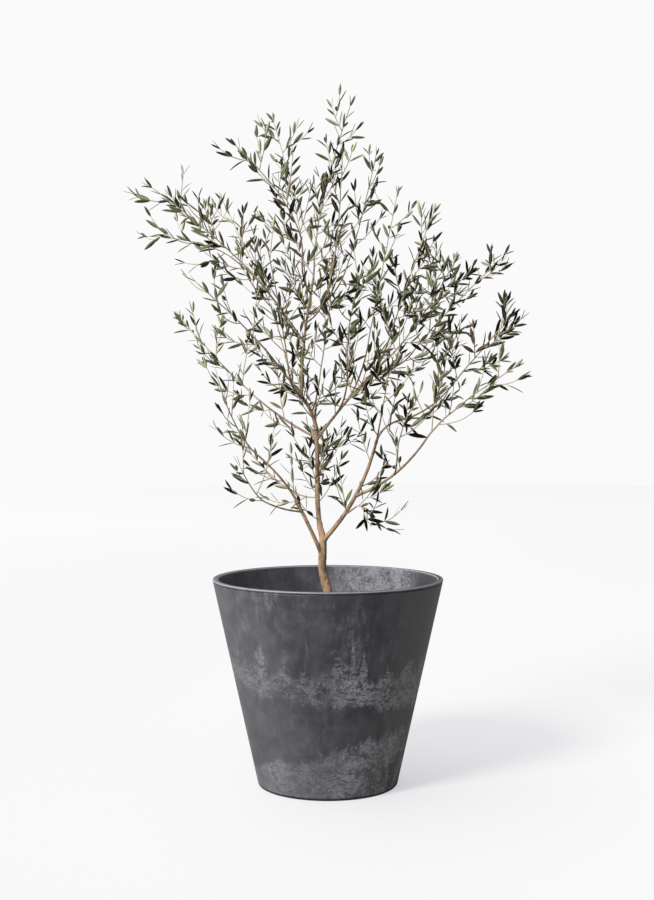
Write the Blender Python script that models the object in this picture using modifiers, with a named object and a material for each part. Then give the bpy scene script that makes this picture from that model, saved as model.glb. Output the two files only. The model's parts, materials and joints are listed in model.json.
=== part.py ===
"""A young olive tree in a tall round tapered planter.

One solid each: the planter, the soil that fills it, the trunk, every bough and every mass of foliage.
Metres, +Z up. The origin is the centre of the planter's flat underside and +X is the tree's right-hand
side seen from its best side, which faces -Y.
"""
import math
import random
from collections import namedtuple

import bmesh
import bpy
import numpy as np
from mathutils import Matrix, Vector

UP = Vector((0, 0, 1))
GAP = 0.0003
MERGE = 0.00001
SMOOTH_ANGLE = math.radians(50)

# The planter: a straight taper from a narrow foot to a wide thin rim.
POT_HEIGHT = 0.332
RIM_RADIUS = 0.1855
FOOT_RADIUS = 0.112
WALL = 0.0095
FLOOR = 0.012
LIP_ROUND = 0.003
FOOT_ROUND = 0.008
POT_STEPS = 38

# The soil stands a little way below the rim and is trodden flat round the trunk.
SOIL_HEIGHT = 0.277
SOIL_FALL = 0.006
SOIL_FLAT_RADIUS = 0.045
SOIL_BREAK_RADIUS = 0.104

# The trunk's stations from the soil to its fork: height, place to the right, place to the back, radius.
TRUNK_STATIONS = [
    (0.270, 0.006, 0.000, 0.0108),
    (0.292, 0.004, 0.000, 0.0074),
    (0.320, -0.003, 0.001, 0.0062),
    (0.352, -0.009, 0.000, 0.0056),
    (0.392, -0.008, -0.002, 0.0052),
    (0.422, -0.014, -0.001, 0.0038),
    (0.470, -0.017, 0.003, 0.0035),
    (0.520, -0.017, 0.002, 0.0033),
    (0.569, -0.019, 0.000, 0.0031),
]
TRUNK_STEPS, TRUNK_SIDES = 15, 10

# Boughs and stems: the length of a straight stretch, the sides of a section, the straight collar where
# one limb carries on from another, and how far along it then keeps to that one's direction.
LIMB_STEP, LIMB_SIDES = 0.034, 6
COLLAR = 0.003
BOUGH_SWEEP, STEM_SWEEP = 0.4, 0.35
STEM_STEPS, SHOOT_STEPS, TWIG_SIDES = 4, 2, 3

# Every bough: what it grows from and how far along that, where its tip is, how far its middle
# is bowed off the straight line, and its radius at each end. One that grows from the very end of
# its parent sets out along it instead of bowing.
Bough = namedtuple("Bough", "name parent along tip bow thick thin")
BOUGHS = [
    Bough("left_low", "trunk", 0.33, (-0.048, -0.020, 0.453), (0.001, 0, -0.001), 0.0026, 0.0021),
    Bough("left_outer", "left_low", 1, (-0.112, -0.060, 0.533), None, 0.0020, 0.0014),
    Bough("left_foot", "left_low", 0.84, (-0.097, -0.060, 0.457), (0, 0, -0.003), 0.0015, 0.0012),
    Bough("right", "trunk", 0.41, (0.076, -0.030, 0.549), (0.009, 0, -0.008), 0.0032, 0.0021),
    Bough("right_low", "right", 0.5, (0.150, -0.100, 0.556), (0.006, 0, -0.010), 0.0025, 0.0016),
    Bough("right_middle", "right", 1, (0.147, 0.035, 0.588), None, 0.0020, 0.0014),
    Bough("right_inner", "right", 0.9, (0.082, -0.080, 0.590), (0, -0.004, -0.004), 0.0015, 0.0012),
    Bough("right_spur", "right_low", 0.5, (0.106, -0.120, 0.540), (0, -0.006, -0.006), 0.0015, 0.0012),
    Bough("low_right", "right", 0.3, (0.044, -0.080, 0.452), (-0.004, -0.008, -0.003), 0.0015, 0.0012),
    Bough("centre", "trunk", 1, (-0.046, 0.000, 0.629), None, 0.0030, 0.0026),
    Bough("left_middle", "centre", 1, (-0.098, -0.040, 0.696), None, 0.0021, 0.0014),
    Bough("leader", "centre", 0.92, (-0.025, 0.010, 0.802), (-0.004, 0.004, 0), 0.0024, 0.0017),
    Bough("upper_left", "leader", 0.48, (-0.112, -0.020, 0.809), (-0.003, 0, 0.007), 0.0017, 0.0012),
    Bough("far_left", "upper_left", 0.8, (-0.155, 0.026, 0.847), (0.004, 0.008, 0), 0.0013, 0.0011),
    Bough("top", "leader", 1, (-0.022, 0.020, 0.840), None, 0.0016, 0.0013),
    Bough("top_left", "leader", 0.92, (-0.040, -0.045, 0.843), (-0.005, -0.004, -0.003), 0.0014, 0.0011),
    Bough("top_back", "leader", 0.82, (-0.040, 0.080, 0.846), (0, 0.009, -0.008), 0.0014, 0.0011),
    Bough("top_front", "leader", 0.66, (0.002, -0.070, 0.795), (0.004, -0.009, -0.008), 0.0014, 0.0011),
    Bough("top_right", "leader", 0.74, (0.028, 0.050, 0.827), (0.007, 0.003, -0.006), 0.0014, 0.0011),
    Bough("right_long", "trunk", 0.95, (0.098, 0.030, 0.686), (-0.002, 0.003, 0.004), 0.0025, 0.0017),
    Bough("right_front", "right_long", 0.5, (0.092, -0.075, 0.704), (0.006, -0.008, -0.006), 0.0016, 0.0012),
    Bough("right_back", "right_long", 0.8, (0.142, 0.100, 0.698), (0.006, 0.005, -0.006), 0.0015, 0.0012),
    Bough("right_outer", "right_middle", 0.7, (0.198, -0.010, 0.641), (0.004, 0.003, -0.006), 0.0015, 0.0012),
    Bough("front_middle", "right_long", 0.26, (0.030, -0.080, 0.676), (0.007, -0.010, -0.008), 0.0016, 0.0012),
    Bough("left_long", "trunk", 0.96, (-0.108, 0.045, 0.614), (0, 0.006, -0.004), 0.0021, 0.0014),
    Bough("back_middle", "centre", 0.45, (-0.014, 0.080, 0.651), (0, 0.010, -0.009), 0.0016, 0.0012),
    Bough("back_left", "leader", 0.18, (-0.071, 0.080, 0.692), (-0.004, 0.009, -0.007), 0.0015, 0.0012),
    Bough("front_left", "centre", 0.84, (-0.062, -0.080, 0.671), (-0.004, -0.010, -0.007), 0.0016, 0.0012),
    Bough("back_right", "right_long", 0.42, (0.067, 0.100, 0.710), (0.004, 0.010, -0.007), 0.0015, 0.0012),
]

# Every mass of foliage: the bough whose tip its stem meets (or how far up the trunk), where its
# furthest leaf ends, how far it spreads round its stem, and how many pairs of side shoots it has.
Mass = namedtuple("Mass", "name grows_from reach spread pairs")
MASSES = [
    Mass("left_outer", "left_outer", (-0.178, -0.134, 0.671), 0.056, 3),
    Mass("left_foot", "left_foot", (-0.149, -0.100, 0.534), 0.050, 2),
    Mass("left_inner", 0.64, (-0.180, 0.122, 0.584), 0.065, 3),
    Mass("right_edge", "right_low", (0.294, -0.183, 0.680), 0.062, 4),
    Mass("right_middle", "right_middle", (0.215, 0.134, 0.767), 0.070, 3),
    Mass("right_inner", "right_inner", (0.097, -0.130, 0.689), 0.060, 2),
    Mass("right_spur", "right_spur", (0.126, -0.200, 0.622), 0.050, 2),
    Mass("low_right", "low_right", (0.092, -0.130, 0.420), 0.046, 2),
    Mass("back_low", 0.74, (0.002, 0.170, 0.566), 0.065, 3),
    Mass("left_middle", "left_middle", (-0.218, -0.122, 0.813), 0.062, 3),
    Mass("upper_left", "upper_left", (-0.293, -0.073, 0.963), 0.068, 4),
    Mass("far_left", "far_left", (-0.323, 0.061, 0.893), 0.058, 3),
    Mass("top", "top", (0.041, 0.037, 1.118), 0.062, 4),
    Mass("top_left", "top_left", (-0.150, -0.146, 1.019), 0.066, 4),
    Mass("top_back", "top_back", (-0.099, 0.195, 1.123), 0.066, 4),
    Mass("top_front", "top_front", (0.024, -0.183, 1.002), 0.062, 3),
    Mass("top_right", "top_right", (0.087, 0.098, 1.048), 0.060, 3),
    Mass("right_long", "right_long", (0.220, 0.037, 0.861), 0.068, 3),
    Mass("right_front", "right_front", (0.157, -0.171, 0.900), 0.066, 3),
    Mass("right_back", "right_back", (0.326, 0.220, 0.889), 0.066, 3),
    Mass("right_outer", "right_outer", (0.302, -0.061, 0.766), 0.064, 3),
    Mass("front_middle", "front_middle", (0.055, -0.207, 0.834), 0.068, 3),
    Mass("left_long", "left_long", (-0.264, 0.110, 0.773), 0.062, 3),
    Mass("back_middle", "back_middle", (0.018, 0.244, 0.892), 0.070, 3),
    Mass("back_left", "back_left", (-0.193, 0.220, 0.988), 0.068, 4),
    Mass("front_left", "front_left", (-0.095, -0.207, 0.874), 0.068, 3),
    Mass("back_right", "back_right", (0.126, 0.220, 1.003), 0.068, 4),
]

# How the shoots grow: where on the stem the first and last pair leave it, the second of a pair a
# little further on, at what angles, how they turn up to the light, and how the upper ones shorten.
FIRST_PAIR, LAST_PAIR, PAIR_STAGGER = 0.10, 0.85, 0.4
TURN = math.pi / 3
SHOOT_ANGLE = (math.radians(36), math.radians(60))
SHOOT_LIFT = 0.8
SHOOT_TAPER = 0.35
SHOOT_LENGTHS = (0.8, 1.1)
SHOOT_RADIUS, SHOOT_TIP_RADIUS = 0.0008, 0.0007
SIDE_STEM_RADIUS, STEM_TIP_RADIUS = 0.0012, 0.0011

# The leaves, fewer and larger than life: their size, how far apart they sit along a twig, how much of
# a stem or shoot is bare of them, how deep they are rooted, and what they keep clear of.
LEAF_LENGTH, LEAF_WIDTH, LEAF_THICKNESS = 0.044, 0.0105, 0.0010
LEAF_WIDEST = 0.48
LEAF_SPACING = 0.048
LEAF_SIZES, TIP_LEAF_SIZES = (0.85, 1.1), (0.85, 1.0)
STEM_BARE, SHOOT_BARE = 0.35, 0.3
LEAF_ANGLE = (math.radians(32), math.radians(50))
LEAF_ROOT = 0.0003
LEAF_TIP_ROOT = 0.0009
LEAF_APART = 0.0060
TWIG_APART = 0.0034
SPACE_MARGIN = 0.0008
LIMB_MARGIN = 0.0012


def empty_scene():
    """Take away whatever the file opened with."""
    for old in list(bpy.data.objects):
        bpy.data.objects.remove(old, do_unlink=True)


def finish(name, colour, roughness):
    """A plain surface of one colour."""
    material = bpy.data.materials.new(name)
    material.use_nodes = True
    surface = material.node_tree.nodes["Principled BSDF"]
    surface.inputs["Base Color"].default_value = (*colour, 1)
    surface.inputs["Roughness"].default_value = roughness
    surface.inputs["Metallic"].default_value = 0.0
    return material


def new_part(name, mesh, material, collection):
    """Put a mesh in the scene as a named part."""
    mesh.name = name
    mesh.materials.clear()
    mesh.materials.append(material)
    part = bpy.data.objects.new(name, mesh)
    collection.objects.link(part)
    return part


def turned(name, profile, steps, material, collection):
    """A profile of (radius, height) points spun once round the upright axis."""
    mesh = bpy.data.meshes.new(name)
    shape = bmesh.new()
    corners = [shape.verts.new((radius, 0, height)) for radius, height in profile]
    for lower, upper in zip(corners, corners[1:]):
        shape.edges.new((lower, upper))
    shape.to_mesh(mesh)
    shape.free()
    part = new_part(name, mesh, material, collection)
    spin = part.modifiers.new("spin", "SCREW")
    spin.steps = steps
    spin.render_steps = steps
    spin.use_merge_vertices = True
    spin.merge_threshold = MERGE
    spin.use_smooth_shade = True
    return part


def arc(centre, radius, start, end, count):
    """Points on a quarter round, from one angle to another in degrees."""
    angles = [math.radians(start + (end - start) * k / count) for k in range(count + 1)]
    return [(centre[0] + radius * math.cos(a), centre[1] + radius * math.sin(a)) for a in angles]


def outer_radius(height):
    """The planter's outside at a height above its foot."""
    return FOOT_RADIUS + (RIM_RADIUS - FOOT_RADIUS) * height / POT_HEIGHT


def make_pot(material, collection):
    """The planter, hollow, with a rounded lip and foot."""
    lip = RIM_RADIUS - LIP_ROUND
    inner_lip = RIM_RADIUS - WALL + LIP_ROUND
    profile = [(0, FLOOR), (outer_radius(FLOOR) - WALL, FLOOR)]
    profile += arc((inner_lip, POT_HEIGHT - LIP_ROUND), LIP_ROUND, 180, 90, 2)
    profile += arc((lip, POT_HEIGHT - LIP_ROUND), LIP_ROUND, 90, 0, 2)
    profile += arc((FOOT_RADIUS - FOOT_ROUND, FOOT_ROUND), FOOT_ROUND, 0, -90, 3)
    profile += [(0, 0)]
    return turned("pot", profile, POT_STEPS, material, collection)


def make_soil(material, collection):
    """The soil, level round the trunk and sinking a little towards the planter's wall."""
    edge_height = SOIL_HEIGHT - SOIL_FALL
    foot = FLOOR + GAP
    profile = [
        (0, SOIL_HEIGHT),
        (SOIL_FLAT_RADIUS, SOIL_HEIGHT),
        (SOIL_BREAK_RADIUS, SOIL_HEIGHT - SOIL_FALL / 3),
        (outer_radius(edge_height) - WALL - 2 * GAP, edge_height),
        (outer_radius(foot) - WALL - 2 * GAP, foot),
        (0, foot),
    ]
    return turned("soil", profile, POT_STEPS, material, collection)


def smooth_way(stations, share):
    """A point on the smooth curve through evenly shared stations."""
    spans = len(stations) - 1
    place = min(max(share, 0), 1) * spans
    k = min(int(place), spans - 1)
    t = place - k
    before, here, there, after = (stations[min(max(k + step, 0), spans)] for step in (-1, 0, 1, 2))
    return [0.5 * (2 * b + (c - a) * t + (2 * a - 5 * b + 4 * c - d) * t ** 2
                   + (3 * b - a - 3 * c + d) * t ** 3) for a, b, c, d in zip(before, here, there, after)]


def trunk_path():
    """The trunk's points and radii, from just under the soil to its fork."""
    shares = [k / TRUNK_STEPS for k in range(TRUNK_STEPS + 1)]
    stations = [smooth_way(TRUNK_STATIONS, share) for share in shares]
    return [Vector((x, y, z)) for z, x, y, radius in stations], [radius for *place, radius in stations]


def along(path, share):
    """The point and the direction at a share of a path's length."""
    points = path[0]
    lengths = [(b - a).length for a, b in zip(points, points[1:])]
    left = share * sum(lengths)
    for a, b, length in zip(points, points[1:], lengths):
        if left <= length:
            return a.lerp(b, left / length), (b - a).normalized()
        left -= length
    return points[-1].copy(), (points[-1] - points[-2]).normalized()


def curve_path(start, middle, tip, thick, thin, steps):
    """Points and radii on the curve that leaves start towards middle and ends at tip."""
    shares = [k / steps for k in range(steps + 1)]
    points = [(1 - t) ** 2 * start + 2 * t * (1 - t) * middle + t ** 2 * tip for t in shares]
    return points, [thick + (thin - thick) * t for t in shares]


def bough_path(bough, paths):
    """A bough's way from its parent to its tip."""
    parent = paths[bough.parent]
    tip = Vector(bough.tip)
    start, heading = along(parent, bough.along)
    steps = max(3, round((tip - start).length / LIMB_STEP))
    if bough.bow is None:
        start = start + GAP * heading
        collar = start + COLLAR * heading
        middle = collar + heading * BOUGH_SWEEP * (tip - collar).length
        points, radii = curve_path(collar, middle, tip, bough.thick, bough.thin, steps)
        return [start, *points], [bough.thick, *radii]
    middle = (start + tip) / 2 + 2 * Vector(bough.bow)
    return curve_path(start, middle, tip, bough.thick, bough.thin, steps)


def stem_path(mass, paths):
    """A mass's main stem, which carries on from its bough's tip or leaves the trunk's side."""
    reach = Vector(mass.reach)
    if isinstance(mass.grows_from, str):
        start, heading = along(paths[mass.grows_from], 1)
        thick = paths[mass.grows_from][1][-1]
        start = start + GAP * heading
    else:
        start, upwards = along(paths["trunk"], mass.grows_from)
        heading = reach - start
        heading = (heading - heading.dot(upwards) * upwards).normalized()
        radius = max(r for point, r in zip(*paths["trunk"]) if abs(point.z - start.z) < 0.02)
        start = start + (radius + GAP) * heading
        thick = SIDE_STEM_RADIUS
    tip = reach - LEAF_LENGTH * (reach - start).normalized()
    middle = start + heading * STEM_SWEEP * (tip - start).length
    return curve_path(start, middle, tip, thick, STEM_TIP_RADIUS, STEM_STEPS)


class Paths:
    """Distances from a point to a set of paths, each kept as straight stretches with a radius."""

    def __init__(self, named_paths):
        rows = [(name, a, b, max(ra, rb)) for name, (points, radii) in named_paths.items()
                for a, b, ra, rb in zip(points, points[1:], radii, radii[1:])]
        self.names = np.array([row[0] for row in rows])
        self.starts = np.array([row[1] for row in rows])
        self.runs = np.array([row[2] - row[1] for row in rows])
        self.radii = np.array([row[3] for row in rows])
        self.squares = (self.runs ** 2).sum(axis=1)

    def distances(self, point):
        """The distance from a point to every stretch's centre line."""
        offset = np.array(point) - self.starts
        share = np.clip((offset * self.runs).sum(axis=1) / self.squares, 0, 1)
        return np.linalg.norm(offset - share[:, None] * self.runs, axis=1)

    def owns(self, name, point, spread, margin):
        """Whether a point is near enough to the named path, and nearer than to every other."""
        distances = self.distances(point)
        own = self.names == name
        nearest = distances[own].min()
        return nearest < spread and nearest + margin < distances[~own].min()

    def clear_of(self, point, margin):
        """Whether a point stays a margin outside every path's surface."""
        return bool((self.distances(point) > self.radii + margin).all())


def side_directions(direction, straight=None):
    """Two directions square to a given one and to each other, turned alike along one straight line."""
    guide = Vector((0, 1, 0)) if abs((straight or direction).y) < 0.9 else Vector((1, 0, 0))
    first = direction.cross(guide).normalized()
    return first, direction.cross(first).normalized()


def sideways(path, heading, turn, angle):
    """A direction that leans off a heading, at a turn round the path's own straight line."""
    first, second = side_directions((path[0][-1] - path[0][0]).normalized())
    outward = math.cos(turn) * first + math.sin(turn) * second
    return (math.cos(angle) * heading + math.sin(angle) * outward).normalized()


def shoot_path(mass, stem, pair, side):
    """One of a pair of side shoots: it leaves the stem at an angle and curves up to the light."""
    dice = random.Random(f"{mass.name} shoot {pair} {side}")
    place = (pair + PAIR_STAGGER * side) / (mass.pairs - 1 + PAIR_STAGGER)
    share = FIRST_PAIR + (LAST_PAIR - FIRST_PAIR) * place
    start, heading = along(stem, share)
    turn = TURN * pair + math.pi * side
    direction = sideways(stem, heading, turn, dice.uniform(*SHOOT_ANGLE))
    length = mass.spread * (1 - SHOOT_TAPER * share) * dice.uniform(*SHOOT_LENGTHS)
    middle = start + direction * length / 2
    tip = middle + (direction + SHOOT_LIFT * UP).normalized() * length / 2
    return curve_path(start, middle, tip, SHOOT_RADIUS, SHOOT_TIP_RADIUS, SHOOT_STEPS)


def leaf_frames(name, path, bare):
    """Where the leaves of one shoot sit: opposite pairs, each turned on from the last, and one at
    the tip. The turns keep each leaf's root within one of the twig's three flat sides."""
    dice = random.Random(f"{name} leaves")
    length = sum((b - a).length for a, b in zip(path[0], path[0][1:]))
    pairs = max(round(length * (1 - bare) / LEAF_SPACING), 1)
    tip, heading = along(path, 1)
    size = dice.uniform(*TIP_LEAF_SIZES)
    yield tip - LEAF_TIP_ROOT * heading, heading, side_directions(heading)[0], size
    first_turn = dice.randrange(3)
    for pair in range(pairs):
        base, heading = along(path, bare + (1 - bare) * pair / pairs)
        for side in (0, 1):
            turn = TURN * (first_turn + pair) + math.pi * side
            direction = sideways(path, heading, turn, dice.uniform(*LEAF_ANGLE))
            yield base - LEAF_ROOT * direction, direction, heading, dice.uniform(*LEAF_SIZES)


def leaf_matrix(root, direction, facing, size):
    """The leaf's frame: its length along Z, its width along X and its upper side along Y."""
    across = direction.cross(facing).normalized()
    normal = direction.cross(across).normalized()
    turn = Matrix((across, normal, direction)).transposed().to_4x4()
    return Matrix.Translation(root) @ turn @ Matrix.Diagonal((size, size, size, 1))


def along_leaf(matrix):
    """Points on a leaf's midrib beyond its root."""
    return [matrix @ Vector((0, 0, share * LEAF_LENGTH)) for share in (0.25, 0.43, 0.61, 0.79, 1)]


def leaf_edges(matrix):
    """The two widest points of a leaf."""
    return [matrix @ Vector((side * LEAF_WIDTH / 2, 0, LEAF_WIDEST * LEAF_LENGTH)) for side in (-1, 1)]


def grow(mass, stem_paths, limbs, stems):
    """The shoots and leaves of one mass that keep to its own space and touch no limb."""
    def fits(points):
        return all(stems.owns(mass.name, point, mass.spread, SPACE_MARGIN)
                   and limbs.clear_of(point, LIMB_MARGIN) for point in points)

    stem = stem_paths[mass.name]
    twigs = {mass.name: (stem, STEM_BARE)}
    for pair in range(mass.pairs):
        for side in (0, 1):
            path = shoot_path(mass, stem, pair, side)
            if fits([along(path, share / 8)[0] for share in range(1, 9)]):
                twigs[f"{mass.name} {pair} {side}"] = (path, SHOOT_BARE)
    twig_points = [(name, along(path, share / 8)[0]) for name, (path, bare) in twigs.items()
                   for share in range(9)]
    leaves = []
    taken = []
    for name, (path, bare) in twigs.items():
        for frame in leaf_frames(name, path, bare):
            matrix = leaf_matrix(*frame)
            rib = along_leaf(matrix)
            apart = all((mark - other).length > LEAF_APART for mark in rib for other in taken)
            apart = apart and all((mark - other).length > TWIG_APART for mark in rib
                                  for owner, other in twig_points if owner != name)
            if apart and fits(rib + leaf_edges(matrix)):
                leaves.append(matrix)
                taken += rib
    return [path for name, (path, bare) in twigs.items() if name != mass.name], leaves


def limb_mesh(name, path, fatter=0.0, sides=LIMB_SIDES):
    """A tapering limb as a closed mesh, from a bevelled curve with filled ends."""
    curve = bpy.data.curves.new(name, "CURVE")
    curve.dimensions = "3D"
    curve.bevel_depth = 1.0
    curve.bevel_resolution = sides // 2 - 2
    curve.use_fill_caps = True
    spline = curve.splines.new("POLY")
    points, radii = path
    spline.points.add(len(points) - 1)
    for knot, point, radius in zip(spline.points, points, radii):
        knot.co = (*point, 1)
        knot.radius = radius + fatter
    guide = bpy.data.objects.new(name + "_curve", curve)
    bpy.context.scene.collection.objects.link(guide)
    evaluated = guide.evaluated_get(bpy.context.evaluated_depsgraph_get())
    mesh = bpy.data.meshes.new_from_object(evaluated)
    bpy.data.objects.remove(guide, do_unlink=True)
    shape = bmesh.new()
    shape.from_mesh(mesh)
    bmesh.ops.remove_doubles(shape, verts=shape.verts, dist=MERGE)
    bmesh.ops.recalc_face_normals(shape, faces=shape.faces)
    shape.to_mesh(mesh)
    shape.free()
    return mesh


def twig_mesh(name, path):
    """A twig as a closed mesh: a small triangle drawn out along the path."""
    points, radii = path
    straight = (points[-1] - points[0]).normalized()
    frames = []
    for point, radius in zip(points, radii):
        heading = straight if frames else (points[1] - points[0]).normalized()
        first, second = side_directions(heading, straight)
        turn = Matrix((first, second, heading)).transposed().to_4x4()
        frames.append(Matrix.Translation(point) @ turn @ Matrix.Diagonal((radius, radius, radius, 1)))
    shape = bmesh.new()
    bmesh.ops.create_circle(shape, cap_ends=True, segments=TWIG_SIDES, radius=1, matrix=frames[0])
    cap = shape.faces[:][0]
    for here, there in zip(frames, frames[1:]):
        cap = bmesh.ops.extrude_discrete_faces(shape, faces=[cap])["faces"][0]
        bmesh.ops.transform(shape, matrix=there @ here.inverted(), verts=cap.verts)
    bmesh.ops.holes_fill(shape, edges=shape.edges)
    bmesh.ops.recalc_face_normals(shape, faces=shape.faces)
    mesh = bpy.data.meshes.new(name)
    shape.to_mesh(mesh)
    shape.free()
    return mesh


def leaf_mesh():
    """A slim leaf of eight faces, widest a little short of its middle, standing on its root."""
    mesh = bpy.data.meshes.new("leaf")
    shape = bmesh.new()
    bmesh.ops.create_uvsphere(shape, u_segments=4, v_segments=2, radius=0.5)
    size = Matrix.Diagonal((LEAF_WIDTH, LEAF_THICKNESS, LEAF_LENGTH, 1))
    bmesh.ops.transform(shape, matrix=size @ Matrix.Translation((0, 0, 0.5)), verts=shape.verts)
    for corner in shape.verts:
        if abs(corner.co.z - LEAF_LENGTH / 2) < LEAF_LENGTH / 4:
            corner.co.z = LEAF_WIDEST * LEAF_LENGTH
    shape.to_mesh(mesh)
    shape.free()
    return mesh


def joined_mesh(base, collection, operation, solver):
    """The mesh of a base object after one Boolean with everything in a collection."""
    boolean = base.modifiers.new(operation.lower(), "BOOLEAN")
    boolean.operation = operation
    boolean.solver = solver
    boolean.operand_type = "COLLECTION"
    boolean.collection = collection
    bpy.context.view_layer.update()
    evaluated = base.evaluated_get(bpy.context.evaluated_depsgraph_get())
    mesh = bpy.data.meshes.new_from_object(evaluated)
    for used in [base, *collection.objects]:
        bpy.data.objects.remove(used, do_unlink=True)
    return mesh


def one_body(mesh):
    """Keep only a mesh's largest closed surface: a sealed hollow is filled and a loose scrap dropped."""
    shape = bmesh.new()
    shape.from_mesh(mesh)
    unseen = set(shape.faces)
    surfaces = []
    while unseen:
        surface = {unseen.pop()}
        newest = list(surface)
        while newest:
            face = newest.pop()
            beside = {other for edge in face.edges for other in edge.link_faces} & unseen
            unseen -= beside
            surface |= beside
            newest += beside
        surfaces.append(surface)
    surfaces.sort(key=len)
    spare = [face for surface in surfaces[:-1] for face in surface]
    bmesh.ops.delete(shape, geom=spare, context="FACES")
    shape.to_mesh(mesh)
    shape.free()
    return mesh


def hidden_tool(name, mesh, collection):
    """An object that only shapes another."""
    tool = bpy.data.objects.new(name, mesh)
    tool.hide_render = True
    tool.display_type = "WIRE"
    collection.objects.link(tool)
    return tool


def make_trunk(path, material, collection):
    """The trunk, cut flat where it leaves the soil."""
    mesh = limb_mesh("trunk", path, sides=TRUNK_SIDES)
    shape = bmesh.new()
    shape.from_mesh(mesh)
    cut = bmesh.ops.bisect_plane(shape, geom=shape.verts[:] + shape.edges[:] + shape.faces[:],
                                 plane_co=(0, 0, SOIL_HEIGHT + GAP), plane_no=UP, clear_inner=True)
    rim = [item for item in cut["geom_cut"] if isinstance(item, bmesh.types.BMEdge)]
    bmesh.ops.edgeloop_fill(shape, edges=rim)
    bmesh.ops.recalc_face_normals(shape, faces=shape.faces)
    shape.to_mesh(mesh)
    shape.free()
    mesh.shade_smooth()
    mesh.set_sharp_from_angle(angle=SMOOTH_ANGLE)
    return new_part("trunk", mesh, material, collection)


def make_bough(bough, paths, cutters, material, collection):
    """One bough, its foot cut to lie against its parent and against older boughs of the same fork."""
    path = paths[bough.name]
    mesh = limb_mesh(bough.name, path)
    if bough.bow is not None:
        older = BOUGHS[:BOUGHS.index(bough)]
        beside = [bough.parent] + [other.name for other in older if other.parent == bough.parent]
        foot = [along(path, step / 40)[0] for step in range(13)]
        for name in beside:
            other = Paths({name: paths[name]})
            if not all(other.clear_of(point, bough.thick + GAP) for point in foot):
                clearance = limb_mesh(name, paths[name], GAP, TRUNK_SIDES)
                hidden_tool(name + "_clearance", clearance, cutters)
        blank = hidden_tool("blank", mesh, bpy.context.scene.collection)
        mesh = joined_mesh(blank, cutters, "DIFFERENCE", "EXACT")
    mesh.shade_smooth()
    mesh.set_sharp_from_angle(angle=SMOOTH_ANGLE)
    return new_part("bough_" + bough.name, mesh, material, collection)


def make_foliage(mass, stem_paths, limbs, stems, leaf, cutters, material, collection):
    """One mass of foliage: stem, shoots and leaves fused into one solid."""
    shoots, leaves = grow(mass, stem_paths, limbs, stems)
    for number, path in enumerate(shoots):
        hidden_tool(f"shoot_{number}", twig_mesh("shoot", path), cutters)
    for number, matrix in enumerate(leaves):
        hidden_tool(f"leaf_{number}", leaf, cutters).matrix_world = matrix
    stem = hidden_tool("stem", twig_mesh("stem", stem_paths[mass.name]), bpy.context.scene.collection)
    mesh = one_body(joined_mesh(stem, cutters, "UNION", "MANIFOLD"))
    return new_part("foliage_" + mass.name, mesh, material, collection)


def main():
    empty_scene()
    tree = bpy.data.collections.new("Potted olive tree")
    cutters = bpy.data.collections.new("Cutters")
    bpy.context.scene.collection.children.link(tree)
    bpy.context.scene.collection.children.link(cutters)

    slate = finish("pot", (0.095, 0.095, 0.105), 0.7)
    earth = finish("soil", (0.035, 0.024, 0.016), 0.95)
    bark = finish("bark", (0.30, 0.21, 0.13), 0.8)
    leafage = finish("foliage", (0.16, 0.19, 0.11), 0.55)

    paths = {"trunk": trunk_path()}
    for bough in BOUGHS:
        paths[bough.name] = bough_path(bough, paths)
    stem_paths = {mass.name: stem_path(mass, paths) for mass in MASSES}
    limbs = Paths(paths)
    stems = Paths(stem_paths)

    make_pot(slate, tree)
    make_soil(earth, tree)
    make_trunk(paths["trunk"], bark, tree)
    for bough in BOUGHS:
        make_bough(bough, paths, cutters, bark, tree)
    leaf = leaf_mesh()
    for mass in MASSES:
        make_foliage(mass, stem_paths, limbs, stems, leaf, cutters, leafage, tree)


main()
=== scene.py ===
"""A young olive tree in a tall round tapered planter: its finished surfaces, bark, twigs and leaves."""
import json
import math
import random
from collections import namedtuple

import bmesh
import bpy
import numpy as np
from mathutils import Matrix, Vector, noise

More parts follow.
